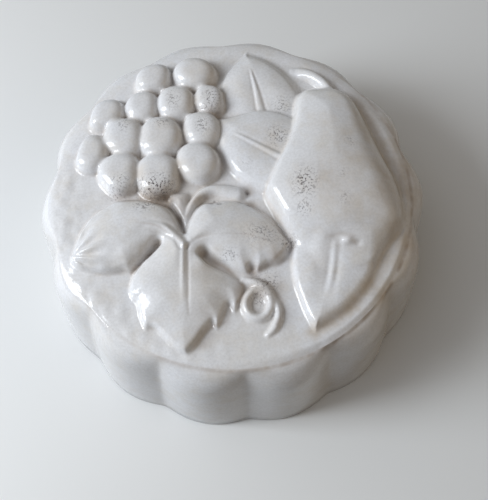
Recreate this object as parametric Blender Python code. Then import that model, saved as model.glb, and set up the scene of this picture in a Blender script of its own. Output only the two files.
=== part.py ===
"""Old fluted pudding mould in white glazed earthenware, standing on its open mouth.

The origin is the centre of the rim plane, +Z points up to the crown and -Y is the front.
The wall and crown are one hollow cast shell. The fruit relief is built on the crown's flat
ground the way a modeller lays it on: leaves, pear, vine and grapes, each seated there.
"""
import math

import bmesh
import bpy
from mathutils import Vector

MM = 0.001

# Crown and fluted wall
PLATEAU_RADIUS = 80.0 * MM
MOULD_HEIGHT = 63.6 * MM
EDGE_ROUND = 2.4 * MM
CREASE_DROP = 1.5 * MM
SHOULDER_DROP = 15.4 * MM
SHOULDER_SPREAD = 5.1 * MM
SHOULDER_LOBE = 4.5 * MM
FOOT_SPREAD = 12.4 * MM
FOOT_LOBE = 2.9 * MM
WALL_BELLY = 0.5 * MM
FLUTES = 14
FLUTE_PHASE = math.radians(3.5)
STEPS_PER_FLUTE = 8
SHOULDER_STEPS = 5
WALL_STEPS = 3

# Thickness of the cast
WALL_THICKNESS = 5.0 * MM
CROWN_THICKNESS = 5.0 * MM
RIM_ROUND = 1.0 * MM
INNER_CORNER = 12.0 * MM

# Seats
SEAT_GAP = 0.3 * MM

# The plan of the relief is drawn in millimetres on a crown of this radius
DRAWN_RADIUS = 80.0 * MM
PLAN = MM * PLATEAU_RADIUS / DRAWN_RADIUS

# Grapes: centre x, y and half width, half length on the plan, in rows of 2, 4, 4 and 3
GRAPES = (
    (-37.4, 58.9, 8.9, 8.2),
    (-17.6, 61.3, 11.0, 8.9),
    (-58.1, 40.4, 8.5, 8.3),
    (-42.3, 44.3, 8.1, 8.6),
    (-26.2, 46.1, 9.2, 9.5),
    (-10.2, 47.5, 7.4, 8.3),
    (-64.2, 19.8, 7.7, 10.0),
    (-50.6, 28.3, 9.6, 10.3),
    (-32.4, 27.6, 10.2, 11.0),
    (-14.0, 31.9, 8.6, 9.2),
    (-51.8, 8.5, 9.8, 10.9),
    (-33.2, 7.0, 9.9, 11.6),
    (-14.4, 13.4, 10.4, 10.8),
)
GRAPE_HEIGHT = 7.5 * MM
GRAPE_SEGMENTS = 18
GRAPE_RINGS = 8
DIMPLE_SEGMENTS = 12
DIMPLE_RINGS = 6

# Pear: along y, middle x, half width on the plan, then height as a share of the belly's
PEAR_SECTIONS = (
    (53.0, 42.0, 3.0, 0.22),
    (51.6, 42.0, 8.0, 0.44),
    (49.0, 42.4, 12.2, 0.60),
    (44.5, 43.6, 14.6, 0.69),
    (38.0, 44.4, 16.2, 0.74),
    (30.0, 45.2, 18.3, 0.80),
    (22.0, 45.2, 21.1, 0.87),
    (14.0, 44.9, 24.3, 0.94),
    (6.0, 44.7, 27.4, 0.99),
    (-1.2, 44.4, 29.8, 1.0),
    (-6.0, 45.5, 29.6, 0.98),
    (-11.0, 46.8, 28.5, 0.94),
    (-16.0, 47.8, 26.8, 0.86),
    (-20.4, 47.7, 24.4, 0.73),
    (-24.0, 46.4, 20.6, 0.56),
    (-27.0, 46.0, 15.0, 0.37),
    (-28.8, 46.0, 7.0, 0.20),
)
PEAR_HEIGHT = 15.0 * MM
PEAR_WALL = 5.0 * MM
PEAR_FLATNESS = 0.80
PEAR_STATIONS = 27
PEAR_ARC_STEPS = 14

# Blossom end of the pear: an oval ring laid on its lower slope
CALYX_CENTRE = (49.7, -24.8)
CALYX_RADII = (2.4, 1.8)
CALYX_HALF_WIDTH = 1.1
CALYX_HEIGHT = 1.0 * MM
CALYX_STATIONS = 16

# Leaves: points of the middle line from tip to base on the plan, then half widths at equal
# steps along it, on the right hand and on the left hand of someone who walks to the base
UPPER_LEAF_LINE = ((7.8, 75.0), (9.8, 64.0), (13.2, 50.0), (17.0, 36.5))
UPPER_LEAF_WIDTHS = ((0.4, 0.4), (6.6, 9.0), (12.0, 14.8), (15.0, 18.0), (16.2, 17.5), (16.5, 16.0))
UPPER_LEAF_THICKNESS = 3.0 * MM

SIDE_LEAF_LINE = ((-5.4, 38.2), (1.2, 30.6), (11.0, 25.4), (25.0, 17.5))
SIDE_LEAF_WIDTHS = ((0.4, 0.4), (3.0, 8.0), (12.0, 14.8), (17.2, 17.6), (19.8, 19.0), (18.0, 19.0))
SIDE_LEAF_THICKNESS = 4.6 * MM

LOWER_LEAF_LINE = ((33.8, -64.4), (39.0, -52.0), (42.4, -38.0), (43.4, -20.0))
LOWER_LEAF_WIDTHS = ((0.4, 0.4), (7.2, 6.8), (12.5, 12.2), (16.8, 15.5), (19.7, 16.9), (21.0, 17.0))
LOWER_LEAF_THICKNESS = 4.2 * MM

# Vine leaf: three lobes that join where their veins meet
LEFT_LOBE_LINE = ((-69.6, -30.2), (-55.0, -22.0), (-38.0, -16.4), (-20.4, -22.6))
LEFT_LOBE_WIDTHS = ((0.4, 0.4), (14.6, 9.8), (17.6, 14.0), (16.3, 13.1), (7.6, 9.6), (2.6, 3.0))
MIDDLE_LOBE_LINE = ((-19.2, -72.4), (-19.6, -56.0), (-20.0, -38.0), (-20.4, -20.0))
MIDDLE_LOBE_WIDTHS = ((0.4, 0.4), (10.5, 15.5), (18.5, 20.8), (23.0, 23.2), (9.5, 13.8), (3.0, 3.4))
RIGHT_LOBE_LINE = ((26.0, -25.4), (12.0, -20.4), (-4.0, -18.8), (-20.4, -22.6))
RIGHT_LOBE_WIDTHS = ((0.4, 0.4), (5.2, 13.6), (11.2, 18.4), (14.6, 17.5), (11.6, 10.0), (3.0, 2.6))
VINE_LEAF_THICKNESS = 4.4 * MM

# Section of every leaf
LEAF_EDGE = 1.2 * MM
LEAF_VALLEY = 0.9 * MM
RIB_HALF_WIDTH = 1.2 * MM
RIB_RISE = 1.1 * MM
LEAF_STATIONS = 14
LEAF_TIP_SHARE = 0.35

# Stalks: x, y, half width on the plan, then height as a share of the stalk's own
VINE_STEM_HEIGHT = 3.2 * MM
VINE_STEM_ROUTE = (
    (-20.8, -17.0, 0.6, 0.5),
    (-20.0, -12.4, 1.6, 0.8),
    (-18.4, -8.0, 2.0, 1.0),
    (-15.0, -3.2, 2.2, 1.0),
    (-10.2, 0.0, 2.5, 1.0),
    (-4.0, 0.1, 3.1, 1.0),
    (2.8, -1.4, 3.3, 0.9),
)
VINE_SPUR_ROUTE = (
    (-20.0, -10.6, 1.6, 0.8),
    (-22.6, -6.8, 2.8, 0.9),
    (-23.8, -4.0, 3.2, 0.85),
)
TENDRIL_HEIGHT = 2.6 * MM
TENDRIL_LEAD = (
    (6.0, -43.2, 1.6, 0.6),
    (10.2, -44.4, 1.9, 0.9),
    (14.6, -47.6, 1.9, 1.0),
    (16.2, -51.6, 1.7, 0.9),
)
TENDRIL_RING_CENTRE = (10.4, -52.6)
TENDRIL_RING_RADII = (5.4, 5.9)
TENDRIL_RING_HALF_WIDTH = 1.7
TENDRIL_TAIL = (
    (16.4, -50.6, 1.2, 0.7),
    (18.8, -56.0, 1.6, 1.0),
    (18.0, -61.6, 1.6, 0.9),
    (14.6, -65.6, 1.2, 0.6),
)
PEAR_STEM_HEIGHT = 4.6 * MM
PEAR_STEM_ROUTE = (
    (31.4, 65.0, 1.9, 0.5),
    (35.6, 64.4, 2.6, 0.9),
    (40.0, 61.6, 2.6, 1.0),
    (43.4, 57.4, 2.4, 1.0),
    (45.2, 52.0, 2.4, 0.9),
)
STALK_ARC_STEPS = 6
STALK_STATIONS = 12
RING_STATIONS = 20

# Hollows under the relief, on the mould's inner face
DIMPLE_SHARE = 0.66
DIMPLE_DEPTH = 3.0 * MM
LEAF_HOLLOW_MARGIN = 3.0 * MM
LEAF_HOLLOW_DEPTH = 2.2 * MM

SEAT_Z = MOULD_HEIGHT + SEAT_GAP
UNDERSIDE_Z = MOULD_HEIGHT - CROWN_THICKNESS
CREASE_Z = MOULD_HEIGHT - CREASE_DROP
SHOULDER_Z = MOULD_HEIGHT - SHOULDER_DROP

GLAZE = (0.83, 0.83, 0.81, 1.0)
GLAZE_SHADED = (0.78, 0.76, 0.72, 1.0)


def clear_scene():
    for item in list(bpy.data.objects):
        bpy.data.objects.remove(item)


def glaze_material(name, colour):
    material = bpy.data.materials.new(name)
    material.use_nodes = True
    shader = material.node_tree.nodes["Principled BSDF"]
    shader.inputs["Base Color"].default_value = colour
    shader.inputs["Roughness"].default_value = 0.14
    shader.inputs["Metallic"].default_value = 0.0
    material.diffuse_color = colour
    return material


def add_object(name, bm, colour=GLAZE):
    mesh = bpy.data.meshes.new(name)
    bmesh.ops.recalc_face_normals(bm, faces=bm.faces)
    bm.to_mesh(mesh)
    bm.free()
    mesh.shade_smooth()
    mesh.set_sharp_from_angle(angle=math.radians(40.0))
    mesh.materials.append(glaze_material(name + "_glaze", colour))
    item = bpy.data.objects.new(name, mesh)
    bpy.context.collection.objects.link(item)
    return item


def add_cutter(name, bm):
    item = add_object(name, bm)
    item.hide_render = True
    item.display_type = "WIRE"
    return item


def boolean(item, tool, operation="DIFFERENCE"):
    modifier = item.modifiers.new(tool.name, "BOOLEAN")
    modifier.object = tool
    modifier.operation = operation
    modifier.solver = "EXACT"


def smooth_rows(rows, count):
    """Read count rows of numbers from the smooth curve through the given rows."""
    last = len(rows) - 1
    result = []
    for step in range(count):
        place = step / (count - 1) * last
        index = min(int(place), last - 1)
        t = place - index
        before = rows[max(index - 1, 0)]
        start = rows[index]
        end = rows[index + 1]
        after = rows[min(index + 2, last)]
        row = []
        for a, b, c, d in zip(before, start, end, after):
            value = b + 0.5 * t * (c - a + t * (2 * a - 5 * b + 4 * c - d + t * (3 * b - a - 3 * c + d)))
            row.append(value)
        result.append(row)
    return result


def loft(sections, closed=False):
    """Carry one outline through all the sections, each an equally long list of points."""
    bm = bmesh.new()
    place = bm.verts.layers.int.new("place")
    first = [bm.verts.new(point) for point in sections[0]]
    for index, vert in enumerate(first):
        vert[place] = index
    start = bm.faces.new(first)
    end = start
    for section in sections[1:]:
        grown = bmesh.ops.extrude_face_region(bm, geom=[end])["geom"]
        if end is not start:
            bmesh.ops.delete(bm, geom=[end], context="FACES_ONLY")
        end = next(item for item in grown if isinstance(item, bmesh.types.BMFace))
        for vert in end.verts:
            vert.co = section[vert[place]]
    if closed:
        bmesh.ops.delete(bm, geom=[start, end], context="FACES_ONLY")
        bmesh.ops.remove_doubles(bm, verts=bm.verts, dist=0.01 * MM)
    bmesh.ops.recalc_face_normals(bm, faces=bm.faces)
    return bm


def flute_lobe(angle):
    """How far out of its cusp radius a flute stands at an angle, from 0 to 1."""
    return abs(math.sin(0.5 * FLUTES * (angle - FLUTE_PHASE + 0.5 * math.pi)))


def quarter_round(start, end, steps):
    """Points of a quarter ellipse that leaves start level and reaches end upright."""
    points = []
    for step in range(1, steps + 1):
        turn = 0.5 * math.pi * step / steps
        radius = start[0] + (end[0] - start[0]) * math.sin(turn)
        height = end[1] + (start[1] - end[1]) * math.cos(turn)
        lobe = start[2] + (end[2] - start[2]) * math.sin(turn)
        points.append((radius, height, lobe))
    return points


def body_profile():
    """Half section of the shell: cusp radius, height and lobe, from the crown round to inside."""
    plateau_edge = (PLATEAU_RADIUS - EDGE_ROUND, MOULD_HEIGHT, 0.0)
    crease = (PLATEAU_RADIUS, CREASE_Z, 0.0)
    shoulder = (PLATEAU_RADIUS + SHOULDER_SPREAD, SHOULDER_Z, SHOULDER_LOBE)
    foot_radius = PLATEAU_RADIUS + FOOT_SPREAD
    points = [(0.0, MOULD_HEIGHT, 0.0), (0.5 * PLATEAU_RADIUS, MOULD_HEIGHT, 0.0), plateau_edge]
    points += quarter_round(plateau_edge, crease, 2)
    points += quarter_round(crease, shoulder, SHOULDER_STEPS)
    wall = []
    for step in range(1, WALL_STEPS + 1):
        share = step / WALL_STEPS
        radius = shoulder[0] + (foot_radius - shoulder[0]) * share + WALL_BELLY * math.sin(math.pi * share)
        height = SHOULDER_Z + (RIM_ROUND - SHOULDER_Z) * share
        wall.append((radius, height, SHOULDER_LOBE + (FOOT_LOBE - SHOULDER_LOBE) * share))
    points += wall
    points.append((foot_radius - RIM_ROUND, 0.0, FOOT_LOBE))
    points.append((foot_radius - WALL_THICKNESS + RIM_ROUND, 0.0, FOOT_LOBE))
    inner = [(radius - WALL_THICKNESS, height, lobe) for radius, height, lobe in reversed(wall)]
    inner.append((shoulder[0] - WALL_THICKNESS, SHOULDER_Z, SHOULDER_LOBE))
    points += inner
    corner = (shoulder[0] - WALL_THICKNESS - INNER_CORNER, UNDERSIDE_Z, 0.0)
    points += reversed(quarter_round(corner, inner[-1], SHOULDER_STEPS)[:-1])
    points.append(corner)
    points += [(0.5 * corner[0], UNDERSIDE_Z, 0.0), (0.0, UNDERSIDE_Z, 0.0)]
    return points


def mould_body():
    """Spin the half section, then push each point out by its share of a flute."""
    bm = bmesh.new()
    lobe_size = bm.verts.layers.float.new("lobe_size")
    start = FLUTE_PHASE - 0.5 * math.pi
    ring = []
    for radius, height, lobe in body_profile():
        vert = bm.verts.new((radius * math.cos(start), radius * math.sin(start), height))
        vert[lobe_size] = lobe
        ring.append(vert)
    edges = [bm.edges.new(pair) for pair in zip(ring, ring[1:])]
    bmesh.ops.spin(
        bm, geom=ring + edges, cent=(0, 0, 0), axis=(0, 0, 1), angle=2 * math.pi,
        steps=FLUTES * STEPS_PER_FLUTE, use_merge=True,
    )
    bmesh.ops.remove_doubles(bm, verts=bm.verts, dist=0.01 * MM)
    for vert in bm.verts:
        radius = math.hypot(vert.co.x, vert.co.y)
        if radius > 0.0:
            grown = radius + vert[lobe_size] * flute_lobe(math.atan2(vert.co.y, vert.co.x))
            vert.co.x *= grown / radius
            vert.co.y *= grown / radius
    body = add_object("mould_body", bm)
    boolean(body, add_cutter("pear_opening", pear_solid(-PEAR_WALL, CROWN_THICKNESS + 4 * SEAT_GAP)))
    boolean(body, add_cutter("grape_dimples", grape_dimples()))
    boolean(body, add_cutter("leaf_hollows", leaf_hollows()))
    return body


def half_section(centre, across, half_width, height, flatness, steps, depth):
    """A flattened half round over a straight base, as a ring of points."""
    points = []
    for step in range(steps + 1):
        turn = math.pi * step / steps
        cosine = math.cos(turn)
        reach = half_width * math.copysign(abs(cosine) ** flatness, cosine)
        rise = height * max(math.sin(turn), 0.0) ** flatness
        points.append(centre + across * reach + Vector((0, 0, rise)))
    if depth > 0.0:
        drop = Vector((0, 0, -depth))
        points.append(points[-1] + drop)
        points.append(points[0] + drop)
    return points


def pear_solid(grow, depth=0.0):
    """The pear's half round, with its skin moved out by grow and its base let down by depth."""
    sections = []
    rows = smooth_rows(PEAR_SECTIONS, PEAR_STATIONS)
    ends = (rows[0][0] * PLAN + grow, rows[-1][0] * PLAN - grow)
    for along, middle, half_width, share in rows:
        reach = half_width * PLAN + grow
        rise = share * PEAR_HEIGHT + grow
        inside = ends[1] <= along * PLAN <= ends[0]
        if grow < 0.0 and (not inside or rise < SEAT_GAP or reach < SEAT_GAP):
            continue
        centre = Vector((middle * PLAN, along * PLAN, SEAT_Z))
        sections.append(
            half_section(centre, Vector((1, 0, 0)), reach, rise, PEAR_FLATNESS, PEAR_ARC_STEPS, depth)
        )
    if grow > 0.0:
        sections = [shifted(sections[0], grow)] + sections + [shifted(sections[-1], -grow)]
    return loft(sections)


def shifted(section, along):
    return [point + Vector((0, along, 0)) for point in section]


def leaf_section(centre, across, left, right, thickness, depth):
    """Leaf section: thin edge, raised blade, a valley on each side and the rib between them.

    The section runs from -left to right along the across direction.
    """
    rib = min(RIB_HALF_WIDTH, 0.3 * min(left, right))
    edge = min(LEAF_EDGE, 0.5 * thickness)
    valley = thickness - LEAF_VALLEY * min(1.0, rib / RIB_HALF_WIDTH)
    profile = [
        (-left, edge),
        (-0.82 * left, 0.82 * thickness),
        (-0.5 * left, thickness),
        (-1.6 * rib, valley),
        (-0.5 * rib, valley + RIB_RISE * rib / RIB_HALF_WIDTH),
        (0.5 * rib, valley + RIB_RISE * rib / RIB_HALF_WIDTH),
        (1.6 * rib, valley),
        (0.5 * right, thickness),
        (0.82 * right, 0.82 * thickness),
        (right, edge),
        (right, -depth),
        (-left, -depth),
    ]
    return [centre + across * reach + Vector((0, 0, rise)) for reach, rise in profile]


def leaf_solid(line, widths, thickness, grow=0.0, depth=0.0, base_z=SEAT_Z, round_base=False):
    """Loft a leaf from its tip to its base along the middle line."""
    spine = smooth_rows(line, LEAF_STATIONS)
    spread = smooth_rows(widths, LEAF_STATIONS)
    sections = []
    for index, (x, y) in enumerate(spine):
        ahead = spine[min(index + 1, LEAF_STATIONS - 1)]
        behind = spine[max(index - 1, 0)]
        along = Vector((ahead[0] - behind[0], ahead[1] - behind[1], 0.0)).normalized()
        across = Vector((-along.y, along.x, 0.0))
        narrowing = math.sqrt(1.0 - (index / (LEAF_STATIONS - 1)) ** 2) if round_base else 1.0
        left = (spread[index][0] * PLAN + grow) * narrowing
        right = (spread[index][1] * PLAN + grow) * narrowing
        if min(left, right) < 0.3 * MM:
            continue
        share = LEAF_TIP_SHARE + (1.0 - LEAF_TIP_SHARE) * min(1.0, 3.0 * index / LEAF_STATIONS)
        centre = Vector((x * PLAN, y * PLAN, base_z))
        sections.append(leaf_section(centre, across, left, right, share * thickness + max(grow, 0.0), depth))
    return loft(sections)


def stalk_solid(route, full_height, grow=0.0, depth=0.0, closed=False, floor=None):
    """A half-round stalk along a route of x, y, half width and share of its height.

    It lies on the crown, or on what the floor function gives for its place.
    """
    rows = route if closed else smooth_rows(route, STALK_STATIONS)
    count = len(rows)
    sections = []
    for index in range(count):
        x, y, half_width, share = rows[index]
        ahead = rows[(index + 1) % count] if closed else rows[min(index + 1, count - 1)]
        behind = rows[(index - 1) % count] if closed else rows[max(index - 1, 0)]
        along = Vector((ahead[0] - behind[0], ahead[1] - behind[1], 0.0)).normalized()
        across = Vector((-along.y, along.x, 0.0))
        base_z = floor(x, y) if floor else SEAT_Z
        centre = Vector((x * PLAN, y * PLAN, base_z))
        reach = half_width * PLAN + grow
        rise = share * full_height + grow
        sections.append(half_section(centre, across, reach, rise, 1.0, STALK_ARC_STEPS, depth))
    if closed:
        sections.append(sections[0])
    return loft(sections, closed)


def oval_route(centre, radii, half_width, steps):
    """A closed route of equal steps round an oval."""
    rows = []
    for step in range(steps):
        turn = 2 * math.pi * step / steps
        x = centre[0] + radii[0] * math.cos(turn)
        y = centre[1] + radii[1] * math.sin(turn)
        rows.append((x, y, half_width, 1.0))
    return rows


def pear_top(x, y):
    """Height of the pear's skin over a point of the plan."""
    rows = smooth_rows(PEAR_SECTIONS, PEAR_STATIONS)
    for start, end in zip(rows, rows[1:]):
        if start[0] >= y >= end[0]:
            mix = (start[0] - y) / (start[0] - end[0])
            _, middle, half_width, share = (a + (b - a) * mix for a, b in zip(start, end))
            off = min(1.0, abs(x - middle) / half_width) ** (2.0 / PEAR_FLATNESS)
            return SEAT_Z + share * PEAR_HEIGHT * (1.0 - off) ** (0.5 * PEAR_FLATNESS)
    return SEAT_Z


def ellipsoid(centre, radii, segments, rings):
    bm = bmesh.new()
    bmesh.ops.create_uvsphere(bm, u_segments=segments, v_segments=rings, radius=1.0)
    bmesh.ops.scale(bm, verts=bm.verts, vec=radii)
    bmesh.ops.translate(bm, verts=bm.verts, vec=centre)
    return bm


def cut_and_close(bm, point, normal):
    """Remove what lies beyond a plane and close the cut with a flat face."""
    geometry = bm.verts[:] + bm.edges[:] + bm.faces[:]
    cut = bmesh.ops.bisect_plane(bm, geom=geometry, plane_co=point, plane_no=normal, clear_outer=True)
    edges = [item for item in cut["geom_cut"] if isinstance(item, bmesh.types.BMEdge)]
    bmesh.ops.holes_fill(bm, edges=edges)


def reach_towards(radii, direction):
    """Distance from an ellipse's centre to its edge in a direction."""
    return 1.0 / math.hypot(direction.x / radii[0], direction.y / radii[1])


def grape(index):
    """One grape: half an ellipsoid, cut flat where it presses on each neighbour."""
    x, y, half_width, half_length = (value * PLAN for value in GRAPES[index])
    centre = Vector((x, y, SEAT_Z))
    bm = ellipsoid(centre, (half_width, half_length, GRAPE_HEIGHT), GRAPE_SEGMENTS, GRAPE_RINGS)
    cut_and_close(bm, centre, Vector((0, 0, -1)))
    for other, row in enumerate(GRAPES):
        if other == index:
            continue
        other_x, other_y, other_width, other_length = (value * PLAN for value in row)
        apart = Vector((other_x - x, other_y - y, 0.0))
        direction = apart.normalized()
        own_reach = reach_towards((half_width, half_length), direction)
        other_reach = reach_towards((other_width, other_length), direction)
        if apart.length > 1.3 * (own_reach + other_reach):
            continue
        share = own_reach / (own_reach + other_reach)
        cut_and_close(bm, centre + apart * share - direction * 0.5 * SEAT_GAP, direction)
    return add_object("grape_%02d" % (index + 1), bm)


def grape_dimples():
    """Shallow hollows on the crown's underside, one beneath each grape."""
    joined = bmesh.new()
    for row in GRAPES:
        x, y, half_width, half_length = (value * PLAN for value in row)
        radii = (half_width * DIMPLE_SHARE, half_length * DIMPLE_SHARE, DIMPLE_DEPTH)
        centre = Vector((x, y, UNDERSIDE_Z))
        add_to(joined, ellipsoid(centre, radii, DIMPLE_SEGMENTS, DIMPLE_RINGS))
    return joined


def add_to(joined, bm):
    """Copy one closed shape into a bmesh that holds several."""
    mesh = bpy.data.meshes.new("shape")
    bm.to_mesh(mesh)
    bm.free()
    joined.from_mesh(mesh)
    bpy.data.meshes.remove(mesh)


def leaf_hollows():
    """Shallow hollows on the crown's underside that follow the single leaves."""
    joined = bmesh.new()
    for line, widths in (
        (UPPER_LEAF_LINE, UPPER_LEAF_WIDTHS),
        (LOWER_LEAF_LINE[:3], LOWER_LEAF_WIDTHS[:5]),
        (MIDDLE_LOBE_LINE, MIDDLE_LOBE_WIDTHS),
        (LEFT_LOBE_LINE[:3], LEFT_LOBE_WIDTHS[:5]),
        (RIGHT_LOBE_LINE[:3], RIGHT_LOBE_WIDTHS[:5]),
    ):
        hollow = leaf_solid(
            line, widths, LEAF_HOLLOW_DEPTH, grow=-LEAF_HOLLOW_MARGIN, depth=LEAF_HOLLOW_DEPTH,
            base_z=UNDERSIDE_Z, round_base=True,
        )
        add_to(joined, hollow)
    return joined


def pear():
    item = add_object("pear", pear_solid(0.0))
    boolean(item, bpy.data.objects["pear_opening"])
    return item


def pear_clearance():
    return add_cutter("pear_clearance", pear_solid(SEAT_GAP, 2 * SEAT_GAP))


def upper_leaf(pear_room):
    item = add_object("upper_leaf", leaf_solid(UPPER_LEAF_LINE, UPPER_LEAF_WIDTHS, UPPER_LEAF_THICKNESS))
    room = leaf_solid(
        SIDE_LEAF_LINE, SIDE_LEAF_WIDTHS, SIDE_LEAF_THICKNESS, grow=SEAT_GAP, depth=2 * SEAT_GAP,
    )
    boolean(item, add_cutter("side_leaf_clearance", room))
    boolean(item, pear_room)


def side_leaf(pear_room):
    item = add_object("side_leaf", leaf_solid(SIDE_LEAF_LINE, SIDE_LEAF_WIDTHS, SIDE_LEAF_THICKNESS))
    boolean(item, pear_room)


def lower_leaf(pear_room):
    item = add_object("lower_leaf", leaf_solid(LOWER_LEAF_LINE, LOWER_LEAF_WIDTHS, LOWER_LEAF_THICKNESS))
    boolean(item, pear_room)


def vine_leaf():
    """Three lobes made one, cut back where the stem and the tendril lie."""
    item = add_object("vine_leaf", leaf_solid(MIDDLE_LOBE_LINE, MIDDLE_LOBE_WIDTHS, VINE_LEAF_THICKNESS))
    left = leaf_solid(LEFT_LOBE_LINE, LEFT_LOBE_WIDTHS, VINE_LEAF_THICKNESS)
    right = leaf_solid(RIGHT_LOBE_LINE, RIGHT_LOBE_WIDTHS, VINE_LEAF_THICKNESS)
    boolean(item, add_cutter("left_lobe", left), "UNION")
    boolean(item, add_cutter("right_lobe", right), "UNION")
    stem_room = stalk_solid(VINE_STEM_ROUTE, VINE_STEM_HEIGHT + VINE_LEAF_THICKNESS, SEAT_GAP, 2 * SEAT_GAP)
    boolean(item, add_cutter("vine_stem_clearance", stem_room))


def vine_stem():
    item = add_object("vine_stem", stalk_solid(VINE_STEM_ROUTE, VINE_STEM_HEIGHT))
    boolean(item, add_cutter("vine_spur", stalk_solid(VINE_SPUR_ROUTE, VINE_STEM_HEIGHT)), "UNION")


def tendril():
    ring = oval_route(TENDRIL_RING_CENTRE, TENDRIL_RING_RADII, TENDRIL_RING_HALF_WIDTH, RING_STATIONS)
    item = add_object("tendril", stalk_solid(ring, TENDRIL_HEIGHT, closed=True))
    boolean(item, add_cutter("tendril_lead", stalk_solid(TENDRIL_LEAD, TENDRIL_HEIGHT)), "UNION")
    boolean(item, add_cutter("tendril_tail", stalk_solid(TENDRIL_TAIL, TENDRIL_HEIGHT)), "UNION")


def pear_stem(pear_room):
    item = add_object("pear_stem", stalk_solid(PEAR_STEM_ROUTE, PEAR_STEM_HEIGHT))
    boolean(item, pear_room)


def pear_calyx(pear_room):
    """An oval ring that follows the slope of the pear, cut to sit on its skin."""
    ring = oval_route(CALYX_CENTRE, CALYX_RADII, CALYX_HALF_WIDTH, CALYX_STATIONS)
    solid = stalk_solid(ring, CALYX_HEIGHT + SEAT_GAP, depth=3 * SEAT_GAP, closed=True, floor=pear_top)
    item = add_object("pear_calyx", solid, GLAZE_SHADED)
    boolean(item, pear_room)


def main():
    clear_scene()
    mould_body()
    pear()
    pear_room = pear_clearance()
    pear_stem(pear_room)
    pear_calyx(pear_room)
    upper_leaf(pear_room)
    side_leaf(pear_room)
    lower_leaf(pear_room)
    vine_leaf()
    vine_stem()
    tendril()
    for index in range(len(GRAPES)):
        grape(index)


main()
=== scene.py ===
"""Glazed earthenware pudding mould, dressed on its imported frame.

The crown and its fruit relief are one glazed surface, a height over a fine lattice. Each form
is lifted off it as a closed piece of its own, so that the glaze runs on from one to the next.
Relief sizes are in millimetres above the flat of the crown, with the front at -Y.
"""
import bisect
import random
from math import atan2, cos, exp, hypot, pi, radians, sin, sqrt

import bmesh
import bpy
import numpy as np
from mathutils import Matrix, Vector


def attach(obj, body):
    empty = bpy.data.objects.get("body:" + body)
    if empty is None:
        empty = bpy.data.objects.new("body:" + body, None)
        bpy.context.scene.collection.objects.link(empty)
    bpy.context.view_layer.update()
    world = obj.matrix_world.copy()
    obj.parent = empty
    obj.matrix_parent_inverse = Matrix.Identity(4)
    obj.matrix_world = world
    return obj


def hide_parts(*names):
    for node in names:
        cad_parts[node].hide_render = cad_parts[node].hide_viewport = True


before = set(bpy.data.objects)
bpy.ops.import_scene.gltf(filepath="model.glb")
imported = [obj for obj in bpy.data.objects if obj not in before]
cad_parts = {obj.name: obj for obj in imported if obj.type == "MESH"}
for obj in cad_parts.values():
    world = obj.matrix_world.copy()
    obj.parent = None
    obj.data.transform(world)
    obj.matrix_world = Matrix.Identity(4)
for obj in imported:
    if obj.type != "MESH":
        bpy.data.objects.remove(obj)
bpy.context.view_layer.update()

MM = 0.001

# Body of the mould
CROWN_RADIUS = 80
CROWN_Z = 63.6
CREASE_OUT = 80.5
CREASE_FACING = radians(-30)
CREASE_SOFT = (6, 0.8)
CREASE_SHARP = (3, 1.8)
UNEVEN_FACING = radians(28)
UNEVEN_HEIGHT = 0.42
SHOULDER_START = radians(4)
GROUND_FROM = 78.2
SHOULDER_DROP = 15.4
WALL_TOP = CROWN_Z - SHOULDER_DROP
SHOULDER_SPREAD = 5.1
SHOULDER_LOBE = 4.5
FOOT_SPREAD = 12.4
FOOT_LOBE = 2.9
WALL_BELLY = 0.5
FLUTES = 14
FLUTE_PHASE = radians(3.5)
CUSP_SOFTNESS = 0.14
WALL = 5
CROWN_THICKNESS = 5
INNER_CORNER = 12
RIM_ROUND = 1.3
SEAT_Z = CROWN_Z - 0.6
PIECE_FOOT = -0.3

# Lattices
CELLS = 300
UNDER_CELLS = 140
SHOULDER_RINGS = 12
WALL_RINGS = 9
RIM_RINGS = 4
INNER_WALL_RINGS = 5
CORNER_RINGS = 6

# Camera over the crown, in millimetres
EYE = (4.77, -132.2, 333.05)
AIM = (4.77, -3.45, 0)
LENS = 47.97
ROLL = -0.0145

# Light: the window lamp, then patches of sky by turn from +X, height, narrowness and colour
WINDOW_PLACE = (-0.66, -0.10, 0.46)
WINDOW_SIZE = (0.28, 0.52)
WINDOW_POWER = 6
WINDOW_COLOUR = (0.88, 0.94, 1)
SKY_PATCHES = (
    (188, 52, 8, (0.66, 0.70, 0.76)), (350, 20, 8, (0.85, 0.69, 0.48)), (140, 40, 8, (0.42, 0.38, 0.35)),
    (90, 10, 8, (0.12, 0.18, 0.20)), (255, 48, 8, (0.12, 0.12, 0.13)),
)
SKY_BASE = (0.065, 0.065, 0.065)

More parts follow.
